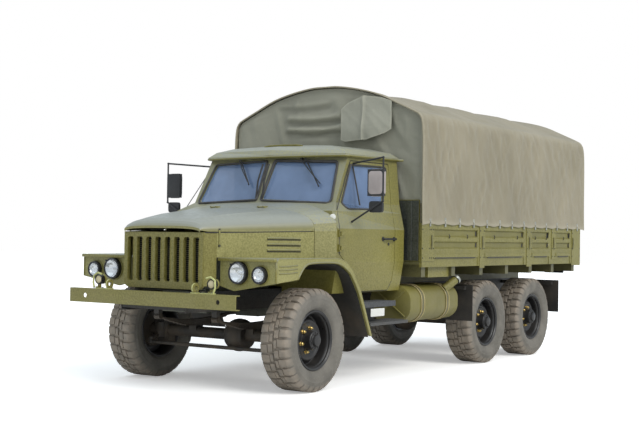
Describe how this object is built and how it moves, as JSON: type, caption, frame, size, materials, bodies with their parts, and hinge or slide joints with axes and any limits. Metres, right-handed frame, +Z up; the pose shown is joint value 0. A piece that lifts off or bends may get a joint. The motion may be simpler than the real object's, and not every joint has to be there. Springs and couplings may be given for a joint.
{
  "type": "military cargo truck",
  "caption": "Six-wheel-drive bonneted cargo truck with a canvas-covered bed; wheels spin and steer, doors, bonnet and tailgate open.",
  "frame": {"origin": "on the ground under the middle of the truck's length and width", "axes": "+Z up, the front bumper faces -Y, +X is the driver's left side"},
  "size_m": [2.794, 7.14, 3.1],
  "materials": {
    "olive_paint": "satin olive paint",
    "chassis_black": "dull black chassis paint",
    "spring_steel": "dark spring steel",
    "engine_iron": "painted cast iron",
    "radiator_core": "dark finned core",
    "step_plate": "worn dark step plate",
    "lamp_black": "black lamp bezel",
    "window_glass": "faintly blue glass",
    "black_plastic": "matte black",
    "seat_cloth": "dark olive seat cover",
    "canvas": "grey-green proofed canvas",
    "flap_rubber": "black rubber sheet",
    "rim_black": "semi-gloss black",
    "tyre_rubber": "dusty black rubber"
  },
  "bodies": {
    "chassis": {"frame_rails": "chassis_black", "crossmembers": "chassis_black", "front_bumper": "olive_paint", "front_axle": "chassis_black", "middle_axle": "chassis_black", "rear_axle": "chassis_black", "leaf_springs": "spring_steel", "engine_block": "engine_iron", "radiator": "radiator_core", "transfer_case": "engine_iron", "drive_shafts": "chassis_black", "fuel_tank": "olive_paint", "toolbox": "olive_paint", "battery_box": "olive_paint", "cab_steps": "step_plate", "grille": "olive_paint", "hood_sides": "olive_paint", "left_wing": "olive_paint", "right_wing": "olive_paint", "left_headlamps": "lamp_black", "right_headlamps": "lamp_black", "cowl": "olive_paint", "cab_floor": "olive_paint", "cab_body": "olive_paint", "cab_roof": "olive_paint", "cab_windows": "window_glass", "driver_seat": "seat_cloth", "passenger_seat": "seat_cloth", "dashboard": "black_plastic", "cargo_bed": "olive_paint", "bed_boards": "olive_paint", "canopy_bows": "olive_paint", "canopy_cover": "canvas", "canopy_ends": "canvas", "mud_flaps": "flap_rubber"},
    "left_knuckle": {"left_knuckle": "chassis_black"},
    "right_knuckle": {"right_knuckle": "chassis_black"},
    "tie_rod": {"tie_rod": "chassis_black"},
    "left_door": {"left_door": "olive_paint", "left_door_glass": "window_glass", "left_mirror": "black_plastic"},
    "right_door": {"right_door": "olive_paint", "right_door_glass": "window_glass", "right_mirror": "black_plastic"},
    "hood": {"hood": "olive_paint"},
    "tailgate": {"tailgate": "olive_paint"},
    "steering_wheel": {"steering_wheel": "black_plastic"},
    "front_left_wheel": {"front_left_wheel": "rim_black", "front_left_tyre": "tyre_rubber"},
    "front_right_wheel": {"front_right_wheel": "rim_black", "front_right_tyre": "tyre_rubber"},
    "middle_left_wheel": {"middle_left_wheel": "rim_black", "middle_left_tyre": "tyre_rubber"},
    "middle_right_wheel": {"middle_right_wheel": "rim_black", "middle_right_tyre": "tyre_rubber"},
    "rear_left_wheel": {"rear_left_wheel": "rim_black", "rear_left_tyre": "tyre_rubber"},
    "rear_right_wheel": {"rear_right_wheel": "rim_black", "rear_right_tyre": "tyre_rubber"}
  },
  "joints": [
    {"name": "left_steer", "type": "hinge", "parent": "chassis", "child": "left_knuckle", "pos_m": [0.807, -2.476, 0.482], "axis": [0, 0, 1], "range_deg": [-30, 30]},
    {"name": "right_steer", "type": "hinge", "parent": "chassis", "child": "right_knuckle", "pos_m": [-0.807, -2.476, 0.482], "axis": [0, 0, 1], "range_deg": [-30, 30]},
    {"name": "tie_rod_pivot", "type": "hinge", "parent": "left_knuckle", "child": "tie_rod", "pos_m": [0.807, -2.641, 0.372], "axis": [0, 0, 1], "range_deg": [-30, 30]},
    {"name": "steering_wheel_turn", "type": "hinge", "parent": "chassis", "child": "steering_wheel", "pos_m": [0.48, -1.616, 1.69], "axis": [0, 0.6157, 0.788], "range_deg": [-450, 450]},
    {"name": "left_door_hinge", "type": "hinge", "parent": "chassis", "child": "left_door", "pos_m": [1.081, -2.04, 1.41], "axis": [0, 0, -1], "range_deg": [0, 68]},
    {"name": "right_door_hinge", "type": "hinge", "parent": "chassis", "child": "right_door", "pos_m": [-1.081, -2.04, 1.41], "axis": [0, 0, 1], "range_deg": [0, 68]},
    {"name": "hood_hinge", "type": "hinge", "parent": "chassis", "child": "hood", "pos_m": [0, -2.305, 1.733], "axis": [-1, 0, 0], "range_deg": [0, 50]},
    {"name": "tailgate_hinge", "type": "hinge", "parent": "chassis", "child": "tailgate", "pos_m": [0, 3.457, 1.163], "axis": [-1, 0, 0], "range_deg": [0, 95]},
    {"name": "front_left_spin", "type": "hinge", "parent": "left_knuckle", "child": "front_left_wheel", "pos_m": [0.957, -2.476, 0.482], "axis": [1, 0, 0], "continuous": true},
    {"name": "front_right_spin", "type": "hinge", "parent": "right_knuckle", "child": "front_right_wheel", "pos_m": [-0.957, -2.476, 0.482], "axis": [1, 0, 0], "continuous": true},
    {"name": "middle_left_spin", "type": "hinge", "parent": "chassis", "child": "middle_left_wheel", "pos_m": [0.957, 1.035, 0.482], "axis": [1, 0, 0], "continuous": true},
    {"name": "middle_right_spin", "type": "hinge", "parent": "chassis", "child": "middle_right_wheel", "pos_m": [-0.957, 1.035, 0.482], "axis": [1, 0, 0], "continuous": true},
    {"name": "rear_left_spin", "type": "hinge", "parent": "chassis", "child": "rear_left_wheel", "pos_m": [0.957, 2.299, 0.482], "axis": [1, 0, 0], "continuous": true},
    {"name": "rear_right_spin", "type": "hinge", "parent": "chassis", "child": "rear_right_wheel", "pos_m": [-0.957, 2.299, 0.482], "axis": [1, 0, 0], "continuous": true}
  ],
  "couplings": [
    {"joint": "right_steer", "follows": "left_steer", "ratio": 1},
    {"joint": "tie_rod_pivot", "follows": "left_steer", "ratio": -1},
    {"joint": "steering_wheel_turn", "follows": "left_steer", "ratio": 15}
  ]
}
